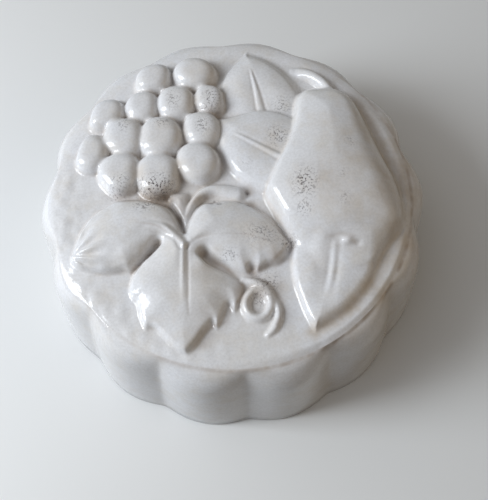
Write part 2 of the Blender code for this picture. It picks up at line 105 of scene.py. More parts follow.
# Grapes: centre x, y, height, then the reach at every eighth of a turn from +X
GRAPES = (
    (-37.4, 58.6, 7.2, (8.3, 9.6, 7.8, 7.6, 8.4, 8.8, 7.4, 8)),
    (-18, 61.4, 7.6, (11, 9.4, 8.4, 9.4, 10.2, 9.2, 8.6, 9.6)),
    (-58.4, 39.7, 6.5, (8.3, 9.2, 7.6, 7, 7.3, 9.4, 7.6, 7.6)),
    (-42.2, 43.7, 6.8, (7.6, 8.8, 7.8, 7.4, 7.8, 8.4, 8.4, 8.6)),
    (-26.2, 45.4, 7.3, (8.8, 9.5, 9, 9.3, 8.8, 9.5, 9.2, 9.6)),
    (-10.6, 46.8, 6.9, (6.9, 7.6, 7.8, 8, 7, 7.6, 8, 8.2)),
    (-64, 19.4, 6.4, (7.6, 8.8, 9.6, 7, 6.4, 8.8, 9.6, 8.2)),
    (-49.8, 27.4, 7.1, (9, 10.2, 9.8, 9.9, 9.4, 9.7, 10, 10.6)),
    (-32.8, 27.2, 7.6, (10, 10.4, 10.6, 10.6, 9.4, 11.4, 10.6, 10.4)),
    (-13.8, 31.1, 7.2, (8.7, 9, 8.8, 9.6, 8.8, 9.2, 9, 9.6)),
    (-50.6, 9, 6.9, (8.7, 10.6, 10.2, 10, 10, 9.3, 10.8, 10.2)),
    (-33.4, 7.6, 7.4, (9.4, 11, 11, 11.2, 9.4, 10.6, 11.4, 10.4)),
    (-15.6, 13.8, 7.5, (10.2, 9.9, 10.2, 10.8, 9.7, 9.6, 10.6, 10.4)),
)
GRAPE_SPREAD = 0.4
GRAPE_SQUARE = 3.9
GRAPE_BLEND = 3.4

# Pear: outline on the crown, each point with the width of the bank that rises from it
PEAR_OUTLINE = (
    (42, 53, 7), (36.4, 52.6, 6.6), (32.2, 50.6, 6), (29.6, 46, 4.2), (28.3, 38.5, 3.6), (26.9, 30.1, 3.4),
    (24.1, 21.9, 3.2), (21.2, 15.5, 3.2), (18.6, 10, 3.2), (16.4, 4.2, 3.2), (14.6, -1.2, 3.2),
    (15.1, -4.2, 3.2), (17.4, -8.8, 3.4), (20.2, -14.7, 4), (23.2, -20.4, 5), (25.8, -25.4, 7),
    (27.6, -30, 8), (32, -36, 8), (42, -38, 8), (52, -37.5, 7), (60, -34.4, 7), (65.6, -28.6, 7),
    (69.4, -24.2, 7.5), (72.6, -20.4, 9), (74.6, -16.4, 11), (75.4, -10.8, 13), (74.8, -3.8, 14.5),
    (72.6, 5.3, 14.5), (69.6, 12.8, 13.5), (65.5, 24.1, 11), (61.6, 35.6, 8.5), (58.2, 44, 7),
    (54.4, 49, 6.4), (48.8, 52.2, 6),
)
# Pear: height of its top along y; its foot sinks onto the leaf below
PEAR_TOP = (
    (-38, 0.6), (-34, 2.4), (-30, 5), (-26, 7.9), (-22, 10.4), (-18, 12.5), (-12, 14.3), (-2, 15.1),
    (10, 14.8), (22, 13.2), (34, 11.6), (44, 10.6), (54, 10),
)
PEAR_PUFF = 5.4
PEAR_REACH = 25
PEAR_SOFT_PASSES = 8
PEAR_WALL = 5
HOLLOW_MARGIN = 4
HOLLOW_FOOT = -24


def seen(height, *points):
    """Points of the plan as they lie, from where they show at a height over the crown."""
    share = 1 - height / (EYE[2] - CROWN_Z)
    return [(EYE[0] + (x - EYE[0]) * share, EYE[1] + (y - EYE[1]) * share) for x, y in points]


# Leaf outlines, in runs from corner to corner; then the bank's height, its width along each run,
# how much the top swells and how far in
VINE_LEAF = (
    seen(1.6, (-21, -20.4), (-22.4, -18.2), (-24, -14.4), (-26, -11), (-29, -7.7), (-33.2, -5.7),
     (-39.2, -4.2), (-46.4, -3.6), (-51.2, -4.2), (-56, -6.6), (-62, -10.8), (-66.2, -16.8), (-68.8, -24),
     (-70, -30)),
    [(-70, -30), (-69.6, -33), (-66.2, -36), (-62, -37.2), (-57.2, -38.2), (-51.8, -38.2), (-47, -37.2),
     (-44.2, -37.4)],
    [(-44.2, -37.4), (-40.6, -34), (-37.2, -29.8), (-34.8, -26), (-33.2, -24.4), (-31.8, -24.3),
     (-31.2, -25.4), (-32.4, -27.6), (-35, -30.4), (-38.8, -34), (-41.8, -37.8), (-43.4, -41.4),
     (-44, -45.2), (-43.2, -48.6), (-42.4, -50)],
    [(-42.4, -50), (-40.8, -51.4), (-40, -54), (-39.2, -57.4), (-38, -60.6), (-37, -62.8)],
    [(-37, -62.8), (-34.6, -62.4), (-32.4, -63), (-30, -65.4), (-26, -69.4), (-22.4, -72.2), (-19.4, -73.4)],
    [(-19.4, -73.4), (-17.4, -71.8), (-14, -67.6), (-11, -63.2), (-8.8, -60.6)],
    [(-8.8, -60.6), (-7.4, -63.4), (-6.2, -62.9), (-4.2, -59), (-2.8, -55.4), (-1.7, -52.8)],
    [(-1.7, -52.8), (-0.4, -56), (1, -56.2), (2.8, -53.2), (4.4, -49.6), (5.1, -46.2), (4.6, -43.4),
     (2.4, -41.4), (-1.2, -39.2), (-5, -37.4), (-10, -35.2), (-13.4, -32), (-14.2, -30.8), (-13, -29.2),
     (-11.2, -29), (-8.6, -31.2), (-4.6, -34.2), (-0.6, -36.8), (3.4, -38.8), (6.6, -39.2)],
    [(6.6, -39.2), (7.2, -36.6), (8.6, -36.4), (10.2, -38.8)],
    [(10.2, -38.8), (12.8, -37.2), (14.8, -35.6)],
    [(14.8, -35.6), (17, -35.4), (19.4, -34.9), (21, -33.4), (24, -29.2), (26.2, -25.8)],
    seen(1.6, (26.2, -25.8), (24, -23.4), (21.9, -20.6), (19.6, -16.4), (16.6, -12.8), (12.7, -9.6),
     (7, -6.2), (3.2, -4.9), (0, -4.2), (-4.4, -4.4), (-8.6, -5.4), (-12.4, -5.8), (-15.8, -8.2),
     (-18.4, -12.8), (-20, -16.8), (-21, -20.4)),
)
VINE_LEAF_SHAPE = (2.8, (1.9, 1.6, 1.5, 2.2, 1.9, 2.2, 2.4, 1.6, 1.9, 1.9, 2.2, 2.2), 3.4, 13)

UPPER_LEAF = (
    [(7.6, 75.2), (2.8, 69.8), (-1.4, 64.7), (-3.6, 60.6), (-5.2, 55.2), (-5, 50), (-4.2, 44.9),
     (-3.6, 40.3), (0, 30), (20, 24)],
    [(20, 24), (36, 30), (36, 44)],
    seen(1.4, (36, 44), (33.4, 50.8), (31.3, 56.2), (28.7, 60), (25.4, 64.4), (21.9, 67.8), (17.3, 71.2),
     (12.7, 73.8), (7.6, 75.2)),
)
UPPER_LEAF_SHAPE = (1.9, (1.8, 3, 4.2), 2.8, 13)

SIDE_LEAF = (
    [(-6.6, 37.8), (-6.6, 33.6), (-6.4, 29.4), (-6.4, 25), (-5.6, 20.6), (-4, 16.6), (-1.4, 11.2), (1.8, 7),
     (5.8, 3.8), (9.2, 1.6), (15, -1.4)],
    [(15, -1), (30, 0), (40, 20), (38, 34)],
    seen(1.8, (38, 34), (30, 37), (26.8, 38.9), (24, 40.2), (20, 41.6), (15.5, 42.4), (11, 42.3), (5, 40.6),
     (-6.6, 37.8)),
)
SIDE_LEAF_SHAPE = (3, (2.4, 3, 1.6), 2.6, 12)

LOWER_LEAF = (
    [(34, -64.6), (31.8, -61), (29.8, -56.6), (27.8, -50.6), (26.2, -45), (25.4, -39), (25.2, -33.4),
     (25.8, -27.8), (27, -20), (32, -10)],
    [(32, -10), (58, -8), (67.6, -20), (66.4, -26.4), (64, -32), (61.4, -38.4), (58.2, -44.6), (54.2, -50),
     (49.4, -55), (43, -59.5), (38.2, -62.4), (34, -64.6)],
)
LOWER_LEAF_SHAPE = (2.7, (1.7, 4.6), 2, 13)

# Stalks: x, y, half width, then height
VINE_STEM = (
    (-20.9, -19, 0.6, 2.2), (-20.4, -15.4, 1.2, 2.9), (-19.4, -11.2, 1.7, 3.3), (-18, -7.4, 2, 3.4),
    (-15.6, -3.6, 2.2, 3.5), (-12.4, -0.8, 2.4, 3.5), (-8.2, 0.5, 2.6, 3.4), (-2.4, -0.2, 3.2, 3.3),
    (2.4, -1.4, 3.3, 3),
)
VINE_SPUR = (
    (-20.9, -16.5, 0.8, 2.4), (-21.6, -12.5, 1.8, 2.9), (-22.6, -8.6, 3, 3.1), (-23.4, -5.2, 4, 3.3),
    (-23.9, -2.6, 4.4, 2.4),
)
SPUR_TOP = -0.4
TENDRIL_LEAD = (
    (4.6, -42.4, 1.7, 1.4), (8.4, -43, 2.1, 2.4), (12.4, -45, 2.1, 2.6), (15.2, -48.2, 1.9, 2.5),
    (16.1, -52, 1.9, 2.4),
)
TENDRIL_RING = (10.4, -52.8, 5.3, 5.9, 1.95, 2.6)
TENDRIL_TAIL = (
    (17.2, -51.4, 1.5, 1.6), (18.7, -55, 1.7, 2.3), (18.5, -59.6, 1.8, 2.3), (16.6, -63.4, 1.6, 1.9),
    (14.2, -65.6, 1.1, 1),
)
PEAR_STEM = (
    (30.2, 63.6, 1.8, 0.5), (33.4, 62.9, 2.7, 1.8), (37, 61.3, 2.9, 2.9), (40.6, 58.6, 2.9, 3.7),
    (43.8, 55, 2.8, 4.3), (46, 51, 2.8, 4.6),
)
CALYX_CENTRE = (48.7, -27.4)
CALYX_RADIUS = 2.9
CALYX_HEIGHT = 1.3
CALYX_LIFT = 0.03
CALYX_DEPTH = 0.4

# Dents pressed into the relief: centre x, y, half width, half length, depth
DENTS = (
    (43.6, -26.6, 1.5, 1.2, 0.4), (53.2, -28.2, 1.3, 1.2, 0.6), (45.9, -24.5, 6.5, 1.1, 0.45),
    (6.6, -0.4, 1.4, 1.6, 1), (8.7, -6.4, 2, 1.2, 0.6), (-9.3, -7, 1, 0.7, 0.5), (-5.5, -7.4, 1, 0.7, 0.5),
)
BLEND = 1.4
STALK_BLEND = 0.7
SPECK_CELLS = 14
SOFT_PASSES = 3
POOL_PASSES = 14
POOL_DEPTH = 1.1
DIMPLE_PASSES = 24
OUTSIDE = -6.0


# Curves and distances on the plan

def between(before, start, end, after, t):
    """A value on the smooth curve through four values in a row."""
    bend = 2 * before - 5 * start + 4 * end - after + t * (3 * start - before - 3 * end + after)
    return start + 0.5 * t * (end - before + t * bend)


def through(rows, steps=6):
    """A smooth line through rows of numbers."""
    rows = np.array(rows, float)
    padded = np.vstack([rows[:1], rows, rows[-1:]])
    line = [between(*padded[index:index + 4], step / steps)
            for index in range(len(rows) - 1) for step in range(steps)]
    return np.array(line + [rows[-1]])


def closed_outline(runs, steps=4):
    return np.vstack([through(run, steps)[:-1] for run in runs])


def nearest(line, px, py):
    """Distance to a line and the place along it."""
    best = np.full(px.shape, 1e9)
    place = np.zeros(px.shape)
    for index, ((ax, ay), (bx, by)) in enumerate(zip(line[:-1, :2], line[1:, :2])):
        dx, dy = bx - ax, by - ay
        t = np.clip(((px - ax) * dx + (py - ay) * dy) / max(dx * dx + dy * dy, 1e-9), 0, 1)
        away = (px - ax - t * dx) ** 2 + (py - ay - t * dy) ** 2
        place = np.where(away < best, index + t, place)
        best = np.minimum(away, best)
    return np.sqrt(best), place


def depth_inside(outline, px, py):
    """Depth inside a closed outline, negative outside it, and the place along it."""
    ring = np.vstack([outline, outline[:1]])
    away, place = nearest(ring, px, py)
    inside = np.zeros(px.shape, bool)
    for (ax, ay), (bx, by) in zip(ring[:-1, :2], ring[1:, :2]):
        if ay != by:
            inside ^= ((ay > py) != (by > py)) & (px < (bx - ax) * (py - ay) / (by - ay) + ax)
    return np.where(inside, away, -away), place


def around(rows, px, py, margin):
    """Which points lie near some rows."""
    xs, ys = zip(*(row[:2] for row in rows))
    inside = (px > min(xs) - margin) & (px < max(xs) + margin)
    return inside & (py > min(ys) - margin) & (py < max(ys) + margin)


def ease(value):
    value = np.clip(value, 0, 1)
    return value * value * (3 - 2 * value)


def smooth_max(a, b, reach):
    """The higher of two heights, with glaze in the corner between them."""
    mix = np.maximum(reach - np.abs(a - b), 0) / reach
    return np.maximum(a, b) + mix * mix * reach * 0.25


def ripple(px, py, seed, wave, count=6):
    """Slow unevenness, about -1 to 1."""
    draw = random.Random(seed)
    total = np.zeros(np.shape(px))
    for _ in range(count):
        turn = draw.uniform(0, 2 * pi)
        length = wave * draw.uniform(0.7, 1.5)
        shift = draw.uniform(0, 2 * pi)
        total += np.sin((px * cos(turn) + py * sin(turn)) * 2 * pi / length + shift)
    return total / count


# Forms of the relief

def bank(depth, width, thickness):
    """A leaf's edge: a steep bank that rounds over into its top."""
    share = np.clip(depth / width, 0, 1)
    rise = thickness * (1 - (1 - share) ** 1.8)
    return np.where(depth < 0, thickness * 1.8 * depth / width, rise)


def pillow(depth, puff, reach):
    share = np.clip(depth / reach, 0, 1)
    return puff * (1 - (1 - share) ** 2)


def raised(away, half_width):
    """Cross-section of a rib, from 1 on its line to 0 at its half width."""
    share = np.clip(away / half_width, 0, 1)
    return 0.5 + 0.5 * np.cos(pi * share)


def rib(px, py, rows, half_width, height, groove=0, fade=0.6):
    """A rib or a scored line, with a groove on each side, that fades at its end."""
    line = through(rows)
    away, place = nearest(line, px, py)
    strength = ease((1 - place / (len(line) - 1)) / fade)
    trench = groove * raised(np.abs(away - 1.25 * half_width), 0.75 * half_width)
    return strength * (height * raised(away, half_width) - trench)


def wedge(px, py, start, end, first, last):
    """A rib that widens from one end to the other."""
    away, place = nearest(np.array([start, end], float), px, py)
    half = first + (last - first) * place
    top = 0.5 * (1 - ease((away - 0.45 * half) / (0.75 * half)))
    trench = 0.3 * raised(np.abs(away - 1.35 * half), 0.9)
    return (top - trench) * ease(place * 6 + 0.3)


def fold(px, py, rows, half_width, depth):
    """A broad trough that a leaf is folded along."""
    return -depth * raised(nearest(through(rows), px, py)[0], half_width)


def leaf_form(px, py, runs, thickness, edges, puff, reach):
    """A leaf, with a width of bank for each run of its outline."""
    depth, place = depth_inside(closed_outline(runs), px, py)
    ends = np.cumsum([(len(run) - 1) * 4 for run in runs[:-1]])
    width = np.array(edges)[np.searchsorted(ends, place, side="right")]
    return bank(depth, width, thickness) + pillow(depth, puff, reach), depth


def vine_leaf_form(px, py):
    height, depth = leaf_form(px, py, VINE_LEAF, *VINE_LEAF_SHAPE)
    inside = ease(depth / 1.2)
    height += rib(px, py, ((-20.8, -27), (-21, -33), (-21, -44), (-20.6, -58)), 1.2, 0.7)
    height += rib(px, py, ((-19.2, -28.4), (-18.8, -41), (-18.6, -52), (-18.4, -60)), 0.8, -0.55, fade=0.5)
    height += rib(px, py, seen(5, (-21.4, -25.6), (-24.2, -21.6), (-29.8, -17.6), (-38.5, -15.8),
                               (-46, -17)), 1.7, 0.7, 0.5)
    height += rib(px, py, ((-19.3, -28.9), (-17, -26.2), (-11.9, -23.6), (-4.6, -22), (3, -22)), 1.1, -0.55)
    # the middle lobe falls away to the right
    height -= 1.6 * ease((px + 15) / 17) * ease((-36 - py) / 6)
    # the left lobe rises all the way to the stalk, the middle one is flat at its tip
    rise = 1.9 * (1 - (1 - np.clip((px + 70) / 38, 0, 1)) ** 2)
    height += rise * ease((py + 41) / 13) * ease((8 - px) / 25)
    height += fold(px, py, ((-35, -22.5), (-40, -27.5), (-47, -33)), 5.5, -0.6) * inside
    height -= 0.65 * pillow(depth, *VINE_LEAF_SHAPE[2:]) * ease((-50 - py) / 12)
    height += 1.7 * np.exp(-((px + 12.5) / 4.5) ** 2 - ((py + 33.5) / 5) ** 2) * inside
    worn = ease(depth) * ease((4.5 - depth) / 3) * ease((-28 - px) / 4)
    height += 0.4 * worn * ripple(px, py, 41, 5.5, 8)
    # folds that fan in from the left lobe's tip
    tip_x, tip_y = seen(3, (-71.5, -30.5))[0]
    reach = np.hypot(px - tip_x, py - tip_y)
    turn = np.degrees(np.arctan2(py - tip_y, px - tip_x))
    fan = np.cos((turn - 42) * pi / 12.5)
    fan *= ease((reach - 2) / 4) * ease((19 - reach) / 9)
    return height + 0.75 * fan * ease(depth / 2)


def upper_leaf_form(px, py):
    height = leaf_form(px, py, UPPER_LEAF, *UPPER_LEAF_SHAPE)[0]
    height += fold(px, py, ((8.2, 72), (15.4, 34)), 9, 0.3)
    # it sinks where the next leaf lies over it
    height -= 2.6 * ease((53 - py - 0.1 * np.abs(px - 15)) / 11)
    return height + wedge(px, py, (9, 63), (14.4, 38.5), 0.4, 1.9)


def side_leaf_form(px, py):
    height = leaf_form(px, py, SIDE_LEAF, *SIDE_LEAF_SHAPE)[0]
    height += fold(px, py, ((-1.4, 29.2), (24, 14)), 9, 0.2)
    return height + wedge(px, py, (0.5, 27.8), (24, 13.6), 0.5, 1.5)


def lower_leaf_form(px, py):
    height = leaf_form(px, py, LOWER_LEAF, *LOWER_LEAF_SHAPE)[0]
    height += fold(px, py, ((41, -22), (40.6, -36), (37, -50)), 8, 0.8)
    return height + rib(px, py, ((43.6, -27.4), (42.6, -36), (41, -44), (38.6, -52)), 1.7, 0.6, 0.2)


def stalk_form(px, py, rows):
    """A half-round stalk along rows of x, y, half width and height."""
    line = through(rows)
    away, place = nearest(line, px, py)
    half, top = (np.interp(place, np.arange(len(line)), line[:, column]) for column in (2, 3))
    inside = top * np.sqrt(1 - np.clip(away / half, 0, 1) ** 2.2)
    return np.where(away < half, inside, -2.5 * (away - half))


def tendril_form(px, py):
    cx, cy, rx, ry, half, top = TENDRIL_RING
    turn = np.arctan2((py - cy) / ry, (px - cx) / rx)
    away = np.hypot(px - cx - rx * np.cos(turn), py - cy - ry * np.sin(turn))
    ring = np.where(away < half, top * np.sqrt(np.clip(1 - (away / half) ** 2, 0, 1)), -2.5 * (away - half))
    both = smooth_max(ring, stalk_form(px, py, TENDRIL_LEAD), STALK_BLEND)
    return smooth_max(both, stalk_form(px, py, TENDRIL_TAIL), STALK_BLEND)


def vine_stem_form(px, py):
    """The vine's stem, with a cut spur that has a ridge down its middle."""
    spur = stalk_form(px, py, VINE_SPUR)
    spur = np.minimum(spur, 2.6 + 0.9 * raised(nearest(through(VINE_SPUR), px, py)[0], 2))
    spur = np.minimum(spur, 1.6 * (SPUR_TOP - py))
    return smooth_max(stalk_form(px, py, VINE_STEM), spur, STALK_BLEND)


def pear_form(px, py, grow=0):
    """The pear's skin; with grow below zero, the face of its hollow."""
    outline = closed_outline((PEAR_OUTLINE + PEAR_OUTLINE[:1],), 3)
    depth, place = depth_inside(outline, px, py)
    depth += grow
    if grow < 0:
        depth = np.minimum(depth, py - HOLLOW_FOOT)
    width = np.interp(place, np.arange(len(outline) + 1), np.append(outline[:, 2], outline[0, 2]))
    rows = through(PEAR_TOP)
    top = np.interp(py, rows[:, 0], rows[:, 1]) + grow
    share = np.clip(depth / width, 0, 1)
    puff = PEAR_PUFF * top / PEAR_TOP[6][1]
    skin = (top - puff) * np.sqrt(1 - (1 - share) ** 2) + pillow(depth, puff, PEAR_REACH)
    return np.where(depth > 0, skin, 2.5 * depth)


def calyx_away(px, py):
    return np.hypot((px - CALYX_CENTRE[0]) / 1.25, (py - CALYX_CENTRE[1]) / 0.8)


def calyx_form(px, py, under):
    """A small knob on what lies under it."""
    away = calyx_away(px, py)
    return under + np.where(away < CALYX_RADIUS, CALYX_HEIGHT * raised(away, CALYX_RADIUS), -1 - away)


def grape_form(px, py, row):
    """A pressed grape: a dome over its reach all round."""
    x, y, height, reaches = row
    away = np.hypot(px - x, py - y)
    eighths = np.mod(np.arctan2(py - y, px - x) / (0.25 * pi), 8)
    low = eighths.astype(int) % 8
    reach = np.array(reaches) + GRAPE_SPREAD
    limit = between(*(reach[(low + step) % 8] for step in (-1, 0, 1, 2)), eighths - np.floor(eighths))
    dome = height * np.sqrt(1 - np.clip(away / limit, 0, 1) ** GRAPE_SQUARE)
    return np.where(away < limit, dome, -2.5 * (away - limit))


def sharpness(angle):
    """The crown's edge is soft at the back left and has a crease at the front right."""
    return (0.5 + 0.5 * np.cos(angle - CREASE_FACING)) ** 2


def edge_drop(reach, angle):
    """How far the crown has rounded down at a reach from its middle."""
    sharp = sharpness(angle)
    width = CREASE_SOFT[0] + (CREASE_SHARP[0] - CREASE_SOFT[0]) * sharp
    drop = CREASE_SOFT[1] + (CREASE_SHARP[1] - CREASE_SOFT[1]) * sharp
    share = np.clip((reach - CREASE_OUT + width) / width, 0, 1)
    return drop * share * share * (1 + sharp * (2 - 2 * share))


def ground_form(px, py):
    """Flat of the crown, rounded down into the crease that the flutes start from."""
    reach = np.hypot(px, py)
    angle = np.arctan2(py, px)
    wave = 0.06 * ripple(px, py, 3, 22) * ease((79 - reach) / 3)
    pressed = ease(-0.7 - 2 * np.cos(angle - UNEVEN_FACING)) * ease((reach - 66) / 6)
    wave += UNEVEN_HEIGHT * ripple(px, py, 29, 7.5, 9) * pressed * ease((79.6 - reach) / 1.5)
    return wave - edge_drop(reach, angle)


# Every form but the ground, the calyx and the grapes, with rows that mark how far it reaches
FORMS = {
    "upper_leaf": (upper_leaf_form, sum(UPPER_LEAF, [])),
    "side_leaf": (side_leaf_form, sum(SIDE_LEAF, [])),
    "lower_leaf": (lower_leaf_form, sum(LOWER_LEAF, [])),
    "vine_leaf": (vine_leaf_form, sum(VINE_LEAF, [])),
    "vine_stem": (vine_stem_form, VINE_STEM + VINE_SPUR),
    "tendril": (tendril_form, TENDRIL_LEAD + TENDRIL_TAIL + ((4, -46), (16, -60))),
    "pear_stem": (lambda px, py: stalk_form(px, py, PEAR_STEM), PEAR_STEM),
    "pear": (pear_form, PEAR_OUTLINE),
}
NAMES = ["mould_body", *FORMS, "pear_calyx"] + ["grape_%02d" % (i + 1) for i in range(len(GRAPES))]
PEAR, CALYX, FIRST_GRAPE = (NAMES.index(name) for name in ("pear", "pear_calyx", "grape_01"))


def relief_forms(px, py):
    """Height of every form at every point, one row for each name."""
    forms = np.full((len(NAMES), px.size), OUTSIDE)
    forms[0] = ground_form(px, py)
    for number, (form, rows) in enumerate(FORMS.values(), 1):
        near = around(rows, px, py, 7)
        forms[number, near] = form(px[near], py[near])
    near = around((CALYX_CENTRE,), px, py, 5)
    forms[CALYX, near] = calyx_form(px[near], py[near], forms[:, near].max(axis=0))
    for number, row in enumerate(GRAPES, FIRST_GRAPE):
        near = around((row,), px, py, max(row[3]) + 4)
        forms[number, near] = grape_form(px[near], py[near], row)
    return forms


def pear_blend(px, py):
    """How softly the pear meets what lies round it: crisp on its left, soft at its foot."""
    foot = ease((-17 - py) / 8) * ease((px - 31) / 8) * ease((66 - px) / 8)
    return 2 + 1.4 * ease((px - 40) / 20) + 6 * foot


def glazed_height(forms, px, py):
    """All forms as one surface: the grapes run together, the rest meets more crisply."""
    bunch = forms[FIRST_GRAPE]
    for row in forms[FIRST_GRAPE + 1:]:
        bunch = smooth_max(bunch, row, GRAPE_BLEND)
    height = smooth_max(forms[0], bunch, BLEND)
    for number in range(1, CALYX):
        height = smooth_max(height, forms[number], pear_blend(px, py) if number == PEAR else BLEND)
    return height + CALYX_HEIGHT * raised(calyx_away(px, py), CALYX_RADIUS)


# The crown's lattice

def on_disc(u, v, radius):
    """A square's points drawn out over a disc."""
    return radius * u * np.sqrt(1 - v * v / 2), radius * v * np.sqrt(1 - u * u / 2)


def square_lattice(cells):
    """A square grid: its bmesh, its vertex and face numbers by column and row, its places."""
    bm = bmesh.new()
    bmesh.ops.create_grid(bm, x_segments=cells, y_segments=cells, size=1)
    bm.verts.ensure_lookup_table()
    bm.faces.ensure_lookup_table()
    numbers = []
    for count, shift, points in ((cells + 1, 0.5, [vert.co[:2] for vert in bm.verts]),
                                 (cells, 0, [face.calc_center_median()[:2] for face in bm.faces])):
        column, row = np.floor((np.array(points).T + 1) * cells / 2 + shift).astype(int)
        numbers.append(np.zeros((count, count), int))
        numbers[-1][column, row] = np.arange(len(points))
    step = np.linspace(-1, 1, cells + 1)
    return bm, *numbers, *np.meshgrid(step, step, indexing="ij")


def cell_mean(values):
    return 0.25 * (values[..., :-1, :-1] + values[..., 1:, :-1] + values[..., :-1, 1:] + values[..., 1:, 1:])


def tidy_labels(labels):
    """Take out specks and cells that touch only at a corner."""
    for _ in range(6):
        a, b, c, d = labels[:-1, :-1], labels[1:, :-1], labels[:-1, 1:], labels[1:, 1:]
        crossed = ((a == d) & (a != b) & (a != c)) | ((b == c) & (b != a) & (b != d))
        columns, rows = np.nonzero(crossed)
        labels[columns + 1, rows + 1] = labels[columns + 1, rows]
        labels[columns, rows + 1] = labels[columns, rows]
    found = np.zeros(labels.shape, bool)
    for start in np.ndindex(labels.shape):
        if found[start]:
            continue
        found[start] = True
        patch, edge_kinds = [start], []
        for column, row in patch:
            for cell in ((column + 1, row), (column - 1, row), (column, row + 1), (column, row - 1)):
                if min(cell) < 0 or max(cell) >= len(labels):
                    continue
                if labels[cell] != labels[start]:
                    edge_kinds.append(labels[cell])
                elif not found[cell]:
                    found[cell] = True
                    patch.append(cell)
        if len(patch) < SPECK_CELLS and edge_kinds:
            kinds, counts = np.unique(edge_kinds, return_counts=True)
            for cell in patch:
                labels[cell] = kinds[counts.argmax()]
    return labels


def relax_borders(labels, px, py, passes=8):
    """Draw the stepped borders between forms out into smooth lines."""
    place = px + 1j * py
    i, j = np.nonzero(labels[1:] != labels[:-1])
    k, m = np.nonzero(labels[:, 1:] != labels[:, :-1])
    ends = (np.r_[i + 1, k], np.r_[j, m + 1]), (np.r_[i + 1, k + 1], np.r_[j + 1, m + 1])
    for _ in range(passes):
        total, count = np.zeros(px.shape, complex), np.zeros(px.shape)
        for here, there in (ends, ends[::-1]):
            np.add.at(total, here, place[there])
            np.add.at(count, here, 1)
        moving = count > 1
        place[moving] = 0.5 * (place[moving] + total[moving] / count[moving])
    return place.real, place.imag


def read_grid(values, u, v):
    """Read the crown's grid between its points."""
    columns, rows = (u + 1) * 0.5 * CELLS, (v + 1) * 0.5 * CELLS
    padded = np.pad(values, 1, mode="edge")
    i = np.clip(columns.astype(int), 0, values.shape[0] - 2)
    j = np.clip(rows.astype(int), 0, values.shape[1] - 2)
    lines = (between(*(padded[i + a, j + b] for b in range(4)), rows - j) for a in range(4))
    return between(*lines, columns - i)


def soften(values, passes):
    """Even out a grid of values with their neighbours."""
    values = values.copy()
    for _ in range(passes):
        inner = 0.25 * (values[2:, 1:-1] + values[:-2, 1:-1] + values[1:-1, 2:] + values[1:-1, :-2])
        values[1:-1, 1:-1] += 0.5 * (inner - values[1:-1, 1:-1])
    return values


# Marks in the glaze: centre x, y, half sizes, strength
SPECKLES = (
    (31.3, -2.5, 4.5, 6, 1.1), (30.8, -13.3, 3, 3.5, 0.7), (47.5, 1.6, 2, 3, 0.4), (47.9, -10.3, 2.5, 3, 0.4),
    (52.1, 17.9, 2.5, 3, 0.4), (-27, 45, 3, 5, 0.6), (-9.5, 45.5, 4, 5.5, 0.75), (-49.5, 32, 3, 4, 0.5),
    (-32, 32.5, 4, 2.5, 0.6), (-13, 31, 3.5, 4, 0.7), (-50.5, 3, 4.5, 4, 0.7), (-34, 0.5, 7, 5, 1.3),
    (24, 43.5, 4.5, 4, 0.6), (21, 25.5, 5, 5, 0.75), (-38, -8.5, 5, 3, 0.7), (13, -22.5, 8, 4.5, 0.6),
    (-1.5, -32, 3.5, 2.5, 0.7), (24, -26, 3.5, 3, 0.8), (11, -50, 3.5, 3.5, 0.8), (14.5, -43, 5, 4.5, 0.75),
    (-8.5, -6, 3.2, 1.4, 1.2), (-52, -1.5, 4, 2.5, 0.6), (6, 12, 3, 3, 0.25), (-12, 41, 5, 2, 0.7),
)
# Painted shade in crevices and under banks, with some real stains near the stalks: centre x, y, half sizes,
# strength
SHADE_AND_STAIN_MARKS = (
    (-31, -3.5, 6.5, 4.5, 1), (-24, -12, 3.6, 6, 0.8), (-36, -2.5, 9, 3.5, 0.7), (-50, -2.5, 7, 2.6, 0.5),
    (7, 0, 2.4, 2.6, 0.8), (8.5, -6.5, 3, 2.4, 0.7), (8.4, -38, 2.4, 3.2, 1), (19, -32.5, 4, 2.6, 0.7),
    (24.5, -27, 2.6, 3, 0.7), (-8, 41, 4, 3, 0.7), (-12.6, -29.5, 2.6, 2.6, 0.6), (-5, 40, 2.6, 3, 0.6),
    (2.6, -46, 2.6, 8, 0.6), (-3.6, -58, 2.2, 5, 0.6), (-13, -66, 4, 5, 0.5), (11, -47, 5, 4, 0.35),
    (18, -44, 4, 5, 0.4), (34, 2, 7, 10, 0.12),
)
# Painted shade, warm, on the sides of the relief that face away from the light: centre x, y, half sizes,
# strength
WARM_SHADE_MARKS = (
    (46, -3, 15, 18, 0.5), (54, 12, 12, 16, 0.45), (67, -4, 9, 20, 0.85), (42, 26, 8, 9, 0.3),
    (61, 30, 6, 16, 0.7), (77, 12, 6, 26, 0.8), (74, -26, 8, 12, 0.8), (62, -50, 9, 10, 0.6),
    (46, -26, 14, 5, 0.4), (36, -34, 5, 8, 0.3), (-10.5, 60, 3, 6, 0.5), (-19, 45, 3, 7, 0.45),
    (-23.5, 28, 3, 8, 0.5), (-24, 8, 3, 9, 0.55), (-7, 13, 3.5, 8, 0.5), (-42, 8, 3, 8, 0.4),
    (-40, 27, 2.5, 7, 0.35), (-30, -4, 16, 4.5, 0.5), (20, 24, 9, 6, 0.3), (12, -24, 12, 7, 0.25),
    (-14, -46, 7, 16, 0.25), (14, -47, 9, 9, 0.3), (-32, 30, 6, 6, 0.3),
)
